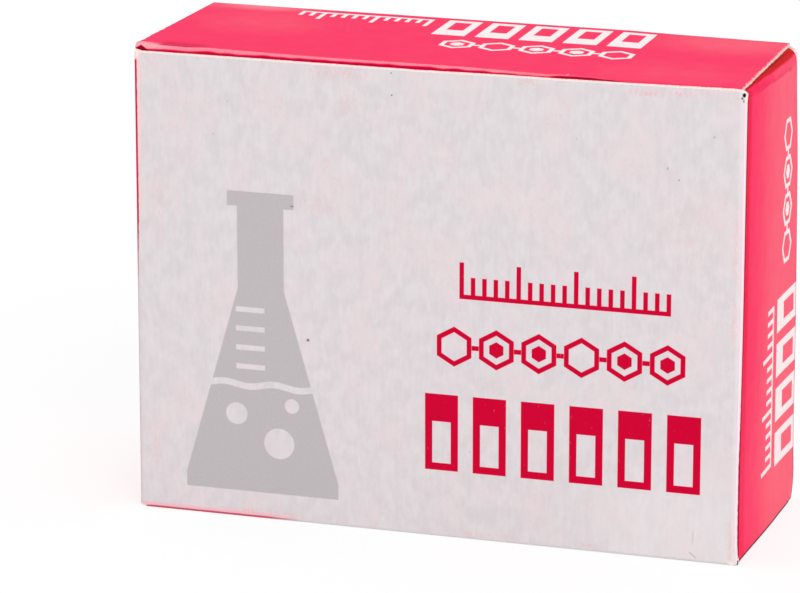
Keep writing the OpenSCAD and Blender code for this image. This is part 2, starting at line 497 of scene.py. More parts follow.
# %% [markdown]
# ## The carton
# The lattice runs round the carton as the real strip of board does: it starts at the left panel's raw
# edge, turns three corners, crosses the back and turns inside the left panel as the glue flap. Its
# rows run up the walls and on over the dust flaps, so beside each dust flap one narrow column of cells
# is left out, as the slit that the cutting die makes.

# %% The strip's columns
joint_gap = 0.25 * MM
glue_w = 11 * MM
half_l = carton_high.x
half_d = carton_high.y
wall_low = carton_low.z + tuck_rise
wall_high = carton_high.z - tuck_rise
middle_z = (wall_low + wall_high) / 2
half_h = (wall_high - wall_low) / 2

dust_tuck = 13.618 * MM
dust_hinge = 14.551 * MM
slit = 0.08 * MM
panel_end = half_d - fold_out_r
side_lines = [-panel_end, -dust_hinge, -dust_tuck - slit, -dust_tuck,
              dust_tuck, dust_tuck + slit, dust_hinge, panel_end]
side_y = chain(*[run(a, b) for a, b in zip(side_lines[:-1], side_lines[1:])])
left_y = chain(side_y, run(panel_end, half_d - joint_gap))

corner = run(0, quarter_fold, quarter_fold / fold_steps)
stretches = [
    ("left", (left_y[-1] - left_y)[::-1], 0),
    ("fold", corner, 90),
    ("front", run(0, 2 * (half_l - fold_out_r)), 0),
    ("fold", corner, 90),
    ("right", side_y - side_y[0], 0),
    ("fold", corner, 90),
    ("back", run(0, 2 * (half_l - fold_out_r) - board_t), 0),
    ("fold", corner, 90),
    ("glue", run(0, glue_w - fold_out_r), 0),
]
strip_s = np.zeros(1)
strip_heading = np.full(1, -math.pi / 2)
panel_s = {}
fold_s = []
for panel, steps, turn in stretches:
    begin = strip_s[-1]
    panel_s[panel] = (begin, begin + steps[-1])
    if turn:
        fold_s.append(begin + steps[-1] / 2)
    strip_s = np.concatenate([strip_s, begin + steps[1:]])
    turned = strip_heading[-1] + math.radians(turn) * steps[1:] / steps[-1]
    strip_heading = np.concatenate([strip_heading, turned])
strip_xy = trace((-half_l + board_t / 2, left_y[-1]), strip_s, strip_heading)
front_middle = sum(panel_s["front"]) / 2
strip_s = strip_s - front_middle
fold_s = np.array(fold_s) - front_middle
panel_s = {panel: (a - front_middle, b - front_middle) for panel, (a, b) in panel_s.items()}
print(len(strip_s), "columns, folds at mm:", np.round(fold_s / MM, 2).tolist())

# %% The rows, and which columns turn in as a dust flap
dust_l = 24 * MM
dust_shoulder = 4 * MM
dust_taper = 2.4 * MM
dust_chamfer = 2 * MM
wall_w = half_h - fold_out_r
turned_w = wall_w + quarter_fold
tip_w = turned_w + dust_l - fold_out_r

upper_w = chain(run(0, wall_w), run(wall_w, turned_w, quarter_fold / fold_steps), run(turned_w, tip_w))
row_w = np.concatenate([-upper_w[:0:-1], upper_w])
row_end = np.where(row_w < 0, -1.0, 1.0)[:, None]


def on_panel(panel):
    """Which columns belong to a panel."""
    return (strip_s >= panel_s[panel][0] - close) & (strip_s <= panel_s[panel][1] + close)


on_left = on_panel("left")
on_right = on_panel("right")
on_side = on_left | on_right
strip_y = strip_xy[:, 1]
q = strip_y[None] * row_end
turns_in = on_side[None] & (q > -dust_tuck - slit / 2) & (q < dust_hinge + slit / 4)

row_size = np.abs(row_w)[:, None]
both_turn = turns_in[:, :-1] & turns_in[:, 1:]
neither_turns = ~turns_in[:, :-1] & ~turns_in[:, 1:]
cell_w = (row_size[:-1] + row_size[1:]) / 2
kept = cell_w < wall_w
kept = kept | (both_turn[:-1] & both_turn[1:])
kept = kept | ((cell_w < turned_w) & neither_turns[:-1] & neither_turns[1:])
print(len(row_w), "rows,", int(kept.sum()), "cells kept of", kept.size)

# %% The strip in space
glue_short = 1.5 * MM
glue_taper = 3 * MM


def dust_outline(q, depth):
    """Where a dust flap's columns lie at a depth from the side face: the flap's share of its root
    width, between its tuck edge and its hinge edge at that depth."""
    share = (q + dust_tuck) / (dust_tuck + dust_hinge)
    depths = [0, dust_shoulder, dust_l - dust_chamfer, dust_l]
    tuck_edge = np.interp(depth, depths, [0, 0, dust_taper, dust_taper + dust_chamfer]) - dust_tuck
    hinge_edge = dust_hinge - np.interp(depth, depths, [0, 0, 0, dust_chamfer])
    return tuck_edge + share * (hinge_edge - tuck_edge)


def edge_heights(front, back):
    """Height above the middle at which each column is cut off. front and back hold pairs, in
    millimetres: a place along the strip from that panel's middle, and how far the cut rises there."""
    places, rises = np.array([*front, *[(back_middle + place, rise) for place, rise in back]]).T * MM
    cut = half_h + np.interp(strip_s, places, rises)
    glue_share = np.clip((strip_s - panel_s["glue"][0]) / (glue_w - fold_out_r), 0, 1)
    cut = cut - np.where(strip_s > panel_s["back"][1] + close, glue_short + glue_share * glue_taper, 0)
    return cut + ragged * edge_rng.uniform(-1, 0.5, len(cut))


edge_rng = np.random.default_rng(7)
ragged = 0.02 * MM
back_middle = sum(panel_s["back"]) / 2 / MM
# the front panel's upper cut stands highest at its right end, and the fold beside the back panel has
# sunk; beside a hinge the panel reaches to the lid, because there the real board is folded, not cut
top_cut = edge_heights([(-41.5, 0), (-41.0, 0.28), (-30, 0.32), (-2, 0.34), (3, 0.40), (7.5, 0.48),
                        (17, 0.52), (26, 0.60), (35, 0.74), (40, 0.82), (40.7, 0.66), (41.3, 0)],
                       [(-41.6, 0), (-41.0, -1.15), (-40.7, -0.85), (-40.2, -0.4), (-39.4, 0.02),
                        (39.9, 0.12), (40.2, 0)])
bottom_cut = edge_heights([(-41.2, 0), (-40.9, 0.15), (-40.4, 0.34), (-39.9, 0.19), (39.7, 0.19),
                           (40.1, 0.42), (40.45, 0.42), (40.6, 0.22), (40.8, -0.05), (41.0, -0.3),
                           (41.3, 0)],
                          [(-40.2, 0), (-39.9, 0.3), (39.9, 0.3), (40.2, 0)])
edge_height = np.where(row_end > 0, top_cut, bottom_cut)
at_end = np.abs(row_size - turned_w) < 0.5 * quarter_fold / fold_steps
beside_lid = (on_panel("front")[None] & (row_end < 0)) | (on_panel("back")[None] & (row_end > 0))
folded_back = (at_end & beside_lid).astype(float)

# the top right dust flap has sprung: its fold grows rounder and sinks towards the hinge side
spring = 1.0 * MM
sunk = 0.12 * MM
hinge_share = np.clip((q + dust_tuck) / (dust_tuck + dust_hinge), 0, 1)
sprung = np.where(on_right[None] & (row_end > 0), hinge_share, 0)
fold_radius = fold_mid_r + spring * sprung

w = np.where(turns_in, row_size, row_size * edge_height / turned_w)
angle = np.where(turns_in, np.clip((w - wall_w) / quarter_fold, 0, 1), 0) * math.pi / 2
beyond = np.where(turns_in, np.maximum(w - turned_w, 0), 0)
crown = wall_w + fold_mid_r - sunk * sprung
turned_height = np.minimum(w, wall_w) * (crown - fold_radius) / wall_w + fold_radius * np.sin(angle)
height = np.where(turns_in, turned_height, w)
flap_share = (dust_l - board_t / 2 - fold_radius) / (dust_l - fold_out_r)
inward = fold_radius * (1 - np.cos(angle)) + beyond * flap_share

moved_q = np.where(beyond > 0, dust_outline(q, beyond + fold_out_r), q)
moved_y = moved_q * row_end
out_x, out_y = np.sin(strip_heading), -np.cos(strip_heading)
middle = together(strip_xy[:, 0] - inward * out_x,
                  np.where(turns_in, moved_y, strip_y) - inward * out_y,
                  middle_z + row_end * height)
normal = together(out_x * np.cos(angle), out_y * np.cos(angle), row_end * np.sin(angle))

along_strip = np.where(on_left, -1.0, 1.0)
flat = together(strip_s + np.where(turns_in, (moved_y - strip_y) * along_strip, 0),
                middle_z + row_end * w)
to_fold = np.abs(strip_s[:, None] - fold_s).min(axis=1)
to_dust_fold = np.where(turns_in, np.abs(w - (wall_w + turned_w) / 2), far)
crease = np.minimum(np.broadcast_to(to_fold, w.shape), to_dust_fold)

least_height = 0.06 * MM
worn_middle = dented(middle, carton_dents)
resting = np.where(turns_in, board_t / 2, least_height)
worn_middle[..., 2] = np.maximum(worn_middle[..., 2], resting)
carton = board_piece("carton_board", worn_middle, normal, board_t / 2, flat, kept, crease, folded_back)
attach(carton, "carton")
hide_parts("carton")

# %% [markdown]
# ## The lids
# A lid is a strip too: it starts at the rounded hinge edge, runs over the end of the carton, turns
# down and ends as the tuck flap, which leans inwards so that it can pass the panel. Across the strip
# the lattice is squeezed to the width that the board has there, and the round corners of the tuck
# flap are part of that width. The bottom lid is the same shape turned half round the X axis.

# %% A lid's path, seen from its right end
tuck_depth = 9 * MM
tuck_corner_r = 5 * MM
tuck_side_room = 0.3 * MM
tuck_half = lid_high.x - tuck_side_room
hinge_y = lid_high.y - board_t / 2
hinge_z = lid_high.z - board_t / 2
fold_y = lid_low.y + fold_out_r
fold_z = lid_high.z - fold_out_r
tuck_lean = math.acos((hinge_z - lid_low.z) / tuck_depth)
tuck_turn = math.pi / 2 + tuck_lean
tuck_fold = fold_mid_r * tuck_turn
tuck_run = (fold_z - fold_out_r * math.sin(tuck_lean) - lid_low.z) / math.cos(tuck_lean)

# the points round the hinge edge and round a corner of the tuck flap, the steps of the fold, and
# where along the fold the board steps in to the tuck flap's width
round_points = 6
corner_points = 12
tuck_fold_steps = 8
step_share = 0.85
step_w = 0.1 * MM
lid_step = 0.5 * MM
round_v = board_t / 2 * (1 - np.cos(np.linspace(0, math.pi / 2, round_points)))
panel_v = board_t / 2 + hinge_y - fold_y
tuck_v = panel_v + tuck_fold
end_v = tuck_v + tuck_run
corner_v = end_v - tuck_corner_r * (1 - np.sin(np.linspace(0, math.pi / 2, corner_points)))
step_v = panel_v + step_share * tuck_fold
lid_v = chain(round_v, run(board_t / 2, panel_v, lid_step),
              run(panel_v, step_v, tuck_fold / tuck_fold_steps), run(step_v, step_v + step_w),
              run(step_v + step_w, tuck_v, tuck_fold / tuck_fold_steps), run(tuck_v, corner_v[0]),
              corner_v)
lid_heading = math.pi + np.clip((lid_v - panel_v) / tuck_fold, 0, 1) * tuck_turn
lid_yz = trace((lid_high.y, hinge_z), lid_v, lid_heading)
print("lid path ends at mm:", np.round(lid_yz[-1] / MM, 3).tolist())
print("the tuck flap leans by", round(math.degrees(tuck_lean), 2), "degrees")

# %% A lid's lattice
# the columns gather towards the lid's ends
end_points = 10
end_reach = 0.14
end_share = 1 - (1 - np.linspace(0, 1, end_points)) ** 2 * end_reach
lid_share = chain(-end_share, run(-end_share[0], end_share[0], lattice_step / half_l), end_share)
rounding = np.clip(lid_v - (end_v - tuck_corner_r), 0, tuck_corner_r)
tuck_end = tuck_half - tuck_corner_r + np.sqrt(tuck_corner_r ** 2 - rounding ** 2)
frayed = 0.035 * MM
hinge_rim = 0.01 * MM


def build_lid(name, turned, left, right, bent):
    """The lid's middle surface: across it x runs from the left to the right end of each row, along it
    the traced path. Near the front fold the panel is pushed up by ridge(x) * exp(-(d / spread(x))^2),
    where d is the distance from the fold, and from the hinge to the fold by lift(x) * v / panel. Towards
    the hinge it sinks by sink(x) * (1 - v / panel). bent is the share of all three. turned puts
    (x, y, z) at (x, -y, H - z), which is half a turn about the middle of the carton."""
    rows, columns = len(lid_v), len(lid_share)
    ends = []
    for end in (left, right):
        end = np.where(lid_v <= step_v, np.interp(lid_v, [0, panel_v], end), np.sign(end[0]) * tuck_end)
        ends.append(end + frayed * edge_rng.standard_normal(rows) * (lid_v > board_t / 2))
    across = (ends[0] + ends[1])[:, None] / 2 + (ends[1] - ends[0])[:, None] / 2 * lid_share[None]
    facing = together(0 * across, np.sin(lid_heading)[:, None], -np.cos(lid_heading)[:, None])
    behind = (panel_v - lid_v)[:, None] / np.interp(across, ridge_x, ridge_spread)
    fade = np.exp(-np.where(behind > 0, behind, (lid_v - panel_v)[:, None] / ridge_below) ** 2)
    lifted = np.where(behind > 0, (lid_v / panel_v)[:, None], fade)
    rise = np.interp(across, ridge_x, ridge_rise) * fade + np.interp(across, lift_x, lift_rise) * lifted
    to_hinge = np.clip(1 - lid_v / panel_v, 0, 1)[:, None]
    rise = rise - np.interp(across, sink_x, sink_depth) * to_hinge
    shape = together(across, lid_yz[:, :1], lid_yz[:, 1:] + rise * bent)
    flat = together(across, (lid_high.y - lid_v)[:, None])
    if turned:
        shape[..., 1:] *= -1
        shape[..., 2] += box_h
        facing = facing * [1, -1, -1]
    in_round = np.maximum(board_t / 2 - lid_v, 0)
    half = np.sqrt(np.maximum((board_t / 2) ** 2 - in_round ** 2, hinge_rim ** 2))
    folded_back = (lid_v < board_t / 2 + close).astype(float)[:, None]
    fold_gap = np.abs(lid_v - (panel_v + tuck_v) / 2)[:, None]
    kept = np.ones((rows - 1, columns - 1), bool)
    return board_piece(name, shape, facing, half[:, None], flat, kept, fold_gap, folded_back)


true_end = lid_high.x
ridge_below = 0.7 * MM
ridge_x = np.array([-40.7, -37, -30, -22, -14, -5, 5, 12, 21, 26, 40]) * MM
ridge_rise = np.array([0.12, 0.16, 0.40, 0.42, 0.36, 0.42, 0.42, 0.26, 0.20, -0.02, -0.05]) * MM
ridge_spread = np.array([1.0, 1.0, 0.9, 0.8, 0.8, 0.8, 0.8, 0.8, 0.8, 0.8, 0.8]) * MM
lift_x = np.array([-41, -37, -30, -22]) * MM
lift_rise = np.array([0.54, 0.36, 0.14, 0]) * MM
sink_x = np.array([18, 24.5, 31, 35, 40]) * MM
sink_depth = np.array([0, 0.12, 0.17, 0.22, 0.24]) * MM
top_left = np.array([-40.7, -40.92]) * MM
top_right = np.array([39.45, 40.0]) * MM
top_lid = build_lid("top_lid_board", False, top_left, top_right, 1)
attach(top_lid, "top_lid")
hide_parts("top_lid")
even_ends = np.array([true_end, true_end])
bottom_lid = build_lid("bottom_lid_board", True, -even_ends, even_ends, 0)
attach(bottom_lid, "bottom_lid")
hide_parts("bottom_lid")

# %% [markdown]
# ## Outlines for print
# Print is flat ink inside an outline, so each printed shape is worked out as a distance to its
# outline, in millimetres, negative inside. The smaller of two distances joins two shapes and the
# larger one keeps what they share. A row of like shapes needs only one of them: each point is
# measured from the nearest repeat. The motifs are common things of the laboratory bench: a stage
# scale, rings of six, slides on end and a conical flask.


# %% Outlines
def bar(a, b, half_a, half_b):
    """A bar about the origin: the larger of |a| - half_a and |b| - half_b."""
    return (abs(a) - half_a).most(abs(b) - half_b)


def repeat(a, pitch, count):
    """The number of the repeat that a point is nearest to, and how far it lies from that repeat."""
    number = (a / pitch).math("ROUND").most(0).least(count - 1)
    return number, a - number * pitch


def stage_scale(a, b, pitch, count, tall, line):
    """Ticks on a base line, and each fifth tick is the full height."""
    number, gap = repeat(a, pitch, count)
    half_tall = ((number % 5) < 0.5) * (0.2 * tall) + 0.3 * tall
    tick = bar(gap, b - half_tall, line / 2, half_tall)
    span = pitch * (count - 1) / 2
    return tick.least(bar(a - span, b - line / 2, span + line / 2, line / 2))


def six_rings(a, b, pitch, count, reach, line):
    """A chain of hexagons: with upright sides at reach, the distance is the larger of |a| and
    0.5 |a| + 0.866 |b|, less reach. Each third one has a filled core, and short bars join them."""
    number, gap = repeat(a, pitch, count)
    sides = abs(gap)
    shape = sides.most(sides * 0.5 + abs(b) * 0.866) - reach
    outline = abs(shape + line / 2) - line / 2
    core = shape + 2.1 * line + ((number % 3) < 0.5) * reach
    bond = bar(a - pitch * (count - 1) / 2, b, pitch * (count - 1) / 2, line / 2).most(shape * -1)
    return outline.least(core).least(bond)


def slides_on_end(a, b, pitch, count, half_a, half_b, line):
    """Upright outlines of slides, with the top third of each one filled."""
    gap = repeat(a, pitch, count)[1]
    shape = bar(gap, b, half_a, half_b)
    outline = abs(shape + line / 2) - line / 2
    return outline.least(bar(gap, b - half_b * 0.64, half_a, half_b * 0.36))


def flask(finish, a, b, tall, half_foot, half_neck):
    """A conical flask that stands on b = 0, with a lip, a light line at the liquid's level, light
    graduations and three light bubbles."""
    neck_from = tall * 0.68
    slope = (half_foot - half_neck) / neck_from
    half = ((neck_from - b) * slope).most(0) + half_neck
    side = abs(a) - half.least(half_foot - 0.6)
    body = side.most(abs(b - tall / 2) - tall / 2)
    lip = bar(a, b - tall + 1, half_neck + 1.4, 1)
    level = abs(b - tall * 0.36 - (a * 0.9).math("SINE") * 0.25) - 0.45
    ticks = bar(repeat(b - tall * 0.42, 2.6, 4)[1], a + 1.5, 0.35, 2.0)
    light = level.least(ticks)
    for x, y, radius in ((-3.5, 0.26, 1.5), (2.4, 0.17, 2.1), (4.2, 0.3, 1.0)):
        light = light.least(finish.length(finish.place(a - x, b - y * tall)) - radius)
    return body.least(lip).most(light * -1)


def inked(distance, soft=0.05):
    """1 inside the outline and 0 outside it, with an edge as soft as ink on board."""
    return distance.rise(soft, -soft)


# %% [markdown]
# ## Printed board
# The board is grey-buff inside and carries a white clay coat and the print outside. Where it was cut,
# its pale core shows as a narrow edge with torn fibres. Along folds the ink has cracked and rubbed
# off. All three pieces of board share the recipe below and differ only in what is printed on them.
# The flat coordinates place print and wear, so both follow the sheet over its folds.

# %% What all board has
carton_core = ((255, 232, 224), (250, 206, 192))
lid_core = ((255, 226, 220), (255, 204, 196))
buff_paint = (205, 192, 180)
buff_shade = (184, 170, 158)
bare_paint = (255, 236, 232)


def board_places(finish):
    """The flat coordinates in millimetres as one place and as two numbers."""
    flat = finish.node("ShaderNodeUVMap", {"uv_map": "Blank"}).outputs[0]
    place = finish.node("ShaderNodeVectorMath", {"operation": "SCALE"}, flat, Scale=1 / MM).outputs[0]
    split = finish.node("ShaderNodeSeparateXYZ", None, place).outputs
    return place, Amount(finish, split[0]), Amount(finish, split[1])


def finish_board(finish, place, printed, worn, relief, core_paints, split=0.0, over=0.0):
    """Puts worn ink, the cut core and the plain inside together. worn is the share of bare paper,
    relief is added to the fibres' height, core_paints are the core's light and dark fibres, split
    is the share of the inner liner that has torn off, and over is how far the ink runs on over the
    cut."""
    ply = finish.attribute("ply")
    fibres = finish.noise(place, (7.0, 7.0, 1.0), 3.0)
    shreds = finish.noise(place, (3.2, 3.2, 1.0), 2.0, (5.0, 1.0, 0.0))
    core = finish.mix(shreds.rise(0.42, 0.62), *core_paints)
    inside = finish.mix(fibres.rise(0.3, 0.7), buff_paint, buff_shade)
    colour = finish.mix(worn, printed, bare_paint)
    colour = finish.mix((ply + over).rise(0.985, 0.93), colour, core)
    colour = finish.mix(ply.rise(0.12, 0.02) * (1 - split), colour, inside)
    raw = ply.rise(0.985, 0.9).most(worn)
    height = fibres * 0.5 + relief + shreds * raw * 2
    bump = finish.node("ShaderNodeBump", None, Strength=0.35, Distance=0.03 * MM, Height=height)
    return finish.shader(Base_Color=colour, Roughness=raw * 0.3 + (fibres * 0.1 + 0.45),
                         Specular_IOR_Level=0.02, Normal=bump.outputs[0])


# %% Red ink
# the pale tone also serves as a painted sheen on the side panels, and the deep tone as painted shade on
# them
red_deep = (246, 0, 66)
red_plain = (255, 48, 100)
red_pale = (255, 106, 126)
# the dark red below is painted shade along the right fold
red_fold_shade = (158, 0, 46)


def red_ink(finish, place, pale):
    """Red between the plain and the pale tone, where pale is above 0, and the deep tone below 0."""
    cloud = finish.noise(place, (0.35, 0.35, 1.0), 3.0, (0.0, 0.0, 3.0))
    grain = finish.noise(place, (5.0, 5.0, 1.0), 2.0)
    tone = pale + (cloud - 0.5) * 0.45 + (grain - 0.5) * 0.22
    light = finish.mix(tone.unit(), red_plain, red_pale)
    return finish.mix((tone * -1).unit(), light, red_deep)


# %% [markdown]
# ### Print on the carton
# The wide panels are white with a grey flask and three crimson rows, and the narrow ones are red with
# the same rows in white. The sheet's coordinate runs on round the carton, so what is on the front is
# repeated on the back by measuring from the nearer of the two middles. The print does not quite meet
# the folds: beside the right fold the white runs a little way round the corner. Handling has left
# faint pink rubs of red ink, a few dark specks and a crack beside the right fold.

# %% The carton's paints and marks
round_half = sum(panel_s["back"]) / 2 / MM
right_middle = sum(panel_s["right"]) / 2 / MM
side_reach = 14.0
crimson_paint = (208, 4, 52)
grey_paint = (191, 185, 187)
white_ink = (255, 240, 240)
speck_paint = (96, 62, 70)
gap_shadow_paint = (48, 8, 6)
paper_paint = (227, 220, 222)
paper_shade = (217, 210, 213)
painted_light_paper = (238, 232, 233)
paper_pink = (232, 214, 218)
paper_stretched = (244, 228, 232)
rub_paint = (241, 186, 190)
low_rub_paint = (250, 182, 194)
crack_paint = (226, 200, 182)
scratch_paint = (188, 168, 178)
right_strip_paint = (255, 230, 238)
curl_paint = (255, 243, 230)
left_streak_paint = (255, 208, 210)
# the next five paints are painted shade on the red panels: along the left fold, in the dust flap's fold,
# under the lid, along the crease below the fold and at the lower cut
left_fold_shade_paint = (196, 52, 88)
dust_fold_shade_paint = (210, 0, 6)
lid_shade_paint = (104, 0, 0)
crease_shade_paint = (222, 8, 80)
low_cut_shadow_paint = (106, 0, 22)
# each mark is its middle, half width, half height and strength; places are in millimetres
rubs = [
    (-13, 61.3, 7.5, 1.4, 0.6), (-11.5, 57.4, 2.6, 3.0, 0.4), (-15.4, 43.6, 6.5, 2.2, 0.3),
    (12.6, 61.7, 3.2, 0.7, 0.7), (28.0, 61.6, 4.0, 0.8, 0.9), (32.6, 61.8, 3.4, 0.7, 0.9),
    (36.0, 61.9, 3.0, 0.8, 0.5), (40.2, 41.5, 0.8, 9.0, 0.7), (40.0, 32.0, 0.8, 5.0, 0.5),
    (-37.6, 43.0, 2.0, 7.0, 0.3), (34.0, 44.0, 8.0, 9.0, 0.18), (-24.0, 0.9, 8.5, 0.6, 0.8),
    (7.0, 0.8, 9.0, 0.5, 0.6), (21.0, 0.8, 3.0, 0.5, 0.6), (-38.5, 8.0, 2.0, 6.0, 0.3),
    (40.1, 3.0, 1.2, 5.0, 0.4), (10.0, 21.5, 12.0, 2.5, 0.12),
]
specks = [
    (-5.6, 58.9, 0.16, 0.16, 0.9), (-5.7, 61.8, 0.14, 0.14, 0.8), (-17.1, 25.2, 0.3, 0.3, 0.8),
    (-19.2, 43.1, 0.35, 0.2, 0.5), (31.0, 52.0, 0.12, 0.3, 0.5), (32.5, 50.6, 0.2, 0.15, 0.5),
    (37.0, 56.5, 0.15, 0.2, 0.5), (35.1, 3.25, 0.2, 1.5, 0.13), (-30.0, 52.0, 0.16, 0.12, 0.4),
    (5.0, 12.0, 0.14, 0.14, 0.4), (19.0, 55.0, 0.14, 0.14, 0.35), (-28.0, 56.5, 0.14, 0.14, 0.35),
]
# dark marks at the top right corner, painted shadow in small gaps where the folds meet
gap_shadows = [(40.6, 62.15, 0.22, 0.38, 1.0), (40.42, 61.75, 0.12, 0.2, 0.8), (40.55, 61.4, 0.1, 0.28, 0.6)]
left_corner_rub = [(-40.6, 61.9, 0.45, 0.9, 0.9)]
low_corner_rub = [(40.1, 0.45, 0.6, 0.7, 0.85)]
torn_liner = [(back_middle - 40.2, 61.8, 1.8, 1.6, 1)]
print(len(rubs), "rubs,", len(specks), "specks and", len(gap_shadows), "gap_shadows")


# %% The white panels
def clay_paper(finish, place, x, y, scratchy):
    """White clay coat: weave and mottle, pink clouds, a lighter lower right that is painted light, rubs, a
    crack and stretched paper beside the right fold, a rubbed lower edge at the left, and a scratch."""
    weave = finish.noise(place, (1.7, 0.5, 1.0), 3.0)
    mottle = finish.noise(place, (0.55, 0.4, 1.0), 4.0, (6.0, 0.0, 0.0))
    cloud = finish.noise(place, (0.16, 0.12, 1.0), 2.0, (3.0, 0.0, 0.0))
    crack = abs(x - 40.0 - (weave - 0.5) * 0.3) + (y - 1).most(0) * 0.012
    scratch = bar(x * 0.81 + y * -0.58 - 27.9, x * 0.58 + y * 0.81 - 21.1, 0.5, 0.04)
    return finish.painted(
        paper_paint,
        (weave.rise(0.3, 0.7) * 0.5 + mottle.rise(0.38, 0.62) * 0.5, paper_shade),
        (cloud.rise(0.48, 0.66) * scratchy.rise(0.35, 0.6) * 0.75, paper_pink),
        # painted light on the lower right
        (x.rise(16, 30) * y.rise(16, 6) * 0.35, painted_light_paper),
        (finish.marks(place, rubs, 0.0) * scratchy.rise(0.42, 0.62), rub_paint),
        (crack.rise(0.26, 0.1) * y.rise(9, 4) * 0.35, crack_paint),
        ((x - 40.2).rise(-0.2, 0.2) * 0.35, paper_stretched),
        (y.rise(0.9, 0.55) * x.rise(-17, -24) * 0.75, low_rub_paint),
        (scratch.rise(0.12, 0) * 0.6, scratch_paint))


def front_print(finish, place, x, y):
    """The paper with the three crimson rows, the grey flask and the specks."""
    scratchy = finish.noise(place, (2.6, 1.7, 1.0), 3.0, (0.0, 9.0, 0.0))
    halftone = finish.noise(place, (6.0, 6.0, 1.0), 2.0, (1.0, 2.0, 0.0)).rise(0.25, 0.5)
    rows = stage_scale(x - 3.9, y - 32.6, pitch=1.53, count=19, tall=4.9, line=0.62)
    rows = rows.least(six_rings(x - 2.9, y - 26.1, pitch=5.7, count=6, reach=2.35, line=0.66))
    rows = rows.least(slides_on_end(x - 1.2, y - 14.3, pitch=6.5, count=6, half_a=2.25, half_b=5.2,
                                    line=1.0))
    grey = inked(flask(finish, x + 23.6, y - 3.6, tall=41.0, half_foot=11.2, half_neck=3.2), 0.08)
    return finish.painted(
        clay_paper(finish, place, x, y, scratchy),
        (grey * (halftone * 0.35 + 0.65), grey_paint),
        (inked(rows) * (scratchy.rise(0.16, 0.34) * 0.3 + 0.7), crimson_paint),
        (finish.marks(place, specks, 0.3), speck_paint))


def white_panel(finish, place, face, y, right_line, left_line):
    """A wide panel up to its folds: a bright strip runs down beside the right fold and curls over at
    its top, and pale pink streaks lie beside the left fold's upper part."""
    streaks = finish.noise(place, (2.4, 0.5, 1.0), 3.0, (4.0, 0.0, 0.0)).rise(0.35, 0.6)
    bright = (right_line - face - y.rise(13, 33) * 0.18).rise(0.26, 0.16)
    curl = (face - 40.66).rise(0, 0.12) * (y - 61.1).rise(0, 0.4)
    curl = curl.most((y - 62.5).rise(0, 0.1) * (face > 40.2))
    beside = (face - left_line).rise(0.7, 0.0) * y.rise(34, 50) * (streaks * 0.5 + 0.5)
    return finish.painted(
        front_print(finish, finish.place(face, y), face, y),
        (bright, right_strip_paint),
        (curl, curl_paint),
        (beside, left_streak_paint))


# %% The red panels
def side_rows(depth, y):
    """The rows on a side panel, which read upwards."""
    rows = stage_scale(y - 8.2, depth * -1 + 3.0, pitch=1.53, count=15, tall=5.6, line=0.62)
    rows = rows.least(slides_on_end(y - 9.6, depth * -1 + 9.6, pitch=6.1, count=4, half_a=2.3,
                                    half_b=4.8, line=1.1))
    return rows.least(six_rings(y - 36.6, depth - 9.2, pitch=5.2, count=4, reach=2.2, line=0.6))


def red_panel(finish, place, face, depth, y, right_line, left_line):
    """A narrow panel. Its red grows paler to the back and towards the bottom, which is a painted sheen, and
    has upright streaks. Painted shade deepens it beside the front fold and just below the dust flap's fold,
    darkens it along both folds and at the cut below, and makes it deep red where it turns in as a dust
    flap, with the lid's painted shade on it and a wavering line of painted shade below the fold."""
    bow = 1 - (depth / side_reach) * (depth / side_reach)
    fold_from = 61.86 - depth * 0.02 - bow * (depth * -0.006 + 0.14)
    streaks = finish.noise(place, (3.4, 0.12, 1.0), 2.0, (0.0, 0.0, 5.0))
    # deep is painted shade beside the front fold; pale is a painted sheen growing to the back and towards
    # the bottom, less just below the dust flap's fold as painted shade
    deep = depth.rise(-11.2, -13.0) * (y.rise(8, 40) * 0.5 + 0.5)
    pale = depth.rise(-12.5, 6) * 0.85 + y.rise(32, 5) * 0.14 - 0.05 - deep + (streaks - 0.5) * 0.5
    pale = pale - (y - fold_from).rise(-1.0, -0.2) * 0.45
    # painted shade along the right and the left fold
    right_fold_shade = (face - right_line - y.rise(13, 33) * 0.25).rise(0.5, 0.3) * (face > 40) * 0.9
    left_fold_shade = (left_line - face).rise(0.5, 0.4) * (face < -40) * 0.9
    uneven = finish.noise(place, (0.45, 1.4, 1.0), 3.0)
    # painted shade where the panel turns in as a dust flap, under the lid's overhang
    dust_fold_shade = (y - fold_from + (uneven - 0.5) * 0.14).rise(-0.05, 0.1) * y.rise(63.4, 62.8)
    under_lid = (y - 62.0 + depth * 0.016).rise(-0.04, 0.03) * y.rise(62.7, 62.3) * bow.unit()
    # a wavering line of painted shade in the crease below the fold
    sway = (finish.noise(place, (0.22, 0.3, 1.0), 2.0) - 0.5) * 0.7
    crease_shade_line = abs(y - fold_from + 0.55 + sway).rise(0.4, 0.05)
    crease_shade_line = crease_shade_line * finish.noise(place, (0.3, 0.8, 1.0), 2.0).rise(0.35, 0.6)
    return finish.painted(
        red_ink(finish, place, pale),
        (right_fold_shade, red_fold_shade),
        (left_fold_shade, left_fold_shade_paint),
        (inked(side_rows(depth, y)), white_ink),
        (dust_fold_shade * (abs(depth) < side_reach + 0.6), dust_fold_shade_paint),
        (under_lid * 0.6, lid_shade_paint),
        (crease_shade_line * (abs(depth) < side_reach) * 0.5, crease_shade_paint),
        # painted contact shadow along the lower cut
        ((y - 1.23).rise(0.06, -0.05) * (abs(depth) < side_reach + 1), low_cut_shadow_paint))


